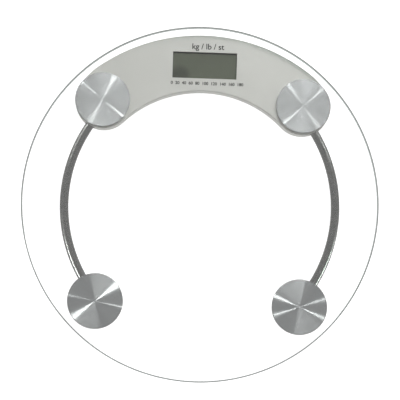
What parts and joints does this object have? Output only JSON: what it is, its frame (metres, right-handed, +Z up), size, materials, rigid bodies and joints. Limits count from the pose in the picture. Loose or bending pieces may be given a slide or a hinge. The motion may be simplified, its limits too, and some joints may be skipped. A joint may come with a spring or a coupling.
{
  "type": "round glass personal scale",
  "caption": "Round clear glass platform scale with a crescent display housing, brushed metal discs, curved cable tubes and load-cell feet.",
  "frame": {"origin": "on the standing surface under the centre of the glass", "axes": "+Z up out of the glass, +Y towards the display, +X to the right when reading the display"},
  "size_m": [0.33, 0.33, 0.025],
  "materials": {
    "tempered_glass": "clear tempered glass, polished edge",
    "brushed_disc": "concentric brushed",
    "housing_plastic": "fine satin moulding",
    "cell_steel": "stamped, nickel plated",
    "silicone": "cast silicone",
    "polished_tube": "polished",
    "grommet_rubber": "matt",
    "display_glass": "display glass under a satin polariser",
    "bezel_plastic": "moulded",
    "contact_rubber": "layered",
    "circuit_board": "solder mask",
    "chip_epoxy": "cast",
    "board_parts": "moulded",
    "plug_plastic": "moulded",
    "coin_cell_can": "satin nickel",
    "contact_metal": "nickel plated",
    "wire_insulation": "satin",
    "screw_steel": "zinc plated",
    "button_plastic": "moulded",
    "foot_plastic": "moulded",
    "sole_rubber": "matt"
  },
  "bodies": {
    "platform": {"glass_platform": "tempered_glass", "foot_disc_rear_right": "brushed_disc", "foot_disc_rear_left": "brushed_disc", "foot_disc_front_right": "brushed_disc", "foot_disc_front_left": "brushed_disc", "display_housing_top": "housing_plastic", "display_housing_bottom": "housing_plastic", "front_housing_right": "housing_plastic", "front_housing_left": "housing_plastic", "front_cover_right": "housing_plastic", "front_cover_left": "housing_plastic", "load_cell_rear_right": "cell_steel", "load_cell_rear_left": "cell_steel", "load_cell_front_right": "cell_steel", "load_cell_front_left": "cell_steel", "strain_gauge_rear_right": "silicone", "strain_gauge_rear_left": "silicone", "strain_gauge_front_right": "silicone", "strain_gauge_front_left": "silicone", "cable_tube_right": "polished_tube", "cable_tube_left": "polished_tube", "tube_grommet_rear_right": "grommet_rubber", "tube_grommet_rear_left": "grommet_rubber", "tube_grommet_front_right": "grommet_rubber", "tube_grommet_front_left": "grommet_rubber", "lcd_panel": "display_glass", "lcd_bezel": "bezel_plastic", "zebra_strip_front": "contact_rubber", "zebra_strip_rear": "contact_rubber", "main_board": "circuit_board", "chip_cover": "chip_epoxy", "board_components": "board_parts", "unit_switch": "board_parts", "lead_plug_right": "plug_plastic", "lead_plug_left": "plug_plastic", "coin_cell": "coin_cell_can", "battery_contact_plus": "contact_metal", "battery_contact_minus": "contact_metal", "battery_wires": "wire_insulation", "sensor_lead_rear_right": "wire_insulation", "sensor_lead_rear_left": "wire_insulation", "sensor_lead_front_right": "wire_insulation", "sensor_lead_front_left": "wire_insulation", "disc_screws": "screw_steel", "housing_screws": "screw_steel", "front_cover_screws": "screw_steel", "board_screws": "screw_steel"},
    "foot_rear_right": {"foot_cap_rear_right": "foot_plastic", "foot_sole_rear_right": "sole_rubber"},
    "foot_rear_left": {"foot_cap_rear_left": "foot_plastic", "foot_sole_rear_left": "sole_rubber"},
    "foot_front_right": {"foot_cap_front_right": "foot_plastic", "foot_sole_front_right": "sole_rubber"},
    "foot_front_left": {"foot_cap_front_left": "foot_plastic", "foot_sole_front_left": "sole_rubber"},
    "battery_door": {"battery_door": "housing_plastic"},
    "unit_button": {"unit_button": "button_plastic", "switch_plunger": "board_parts"}
  },
  "joints": [
    {"name": "foot_rear_right_drop", "type": "slide", "parent": "platform", "child": "foot_rear_right", "axis": [0, 0, 1], "range_m": [-0.0007, 0]},
    {"name": "foot_rear_left_drop", "type": "slide", "parent": "platform", "child": "foot_rear_left", "axis": [0, 0, 1], "range_m": [-0.0007, 0]},
    {"name": "foot_front_right_drop", "type": "slide", "parent": "platform", "child": "foot_front_right", "axis": [0, 0, 1], "range_m": [-0.0007, 0]},
    {"name": "foot_front_left_drop", "type": "slide", "parent": "platform", "child": "foot_front_left", "axis": [0, 0, 1], "range_m": [-0.0007, 0]},
    {"name": "battery_door_hinge", "type": "hinge", "parent": "platform", "child": "battery_door", "pos_m": [0.05473, 0.09479, 0.00525], "axis": [-0.866, 0.5, 0], "range_deg": [0, 80]},
    {"name": "unit_button_press", "type": "slide", "parent": "platform", "child": "unit_button", "axis": [0, 0, 1], "range_m": [0, 0.0005], "stiffness_N_per_m": 400, "springref_m": -0.001}
  ]
}
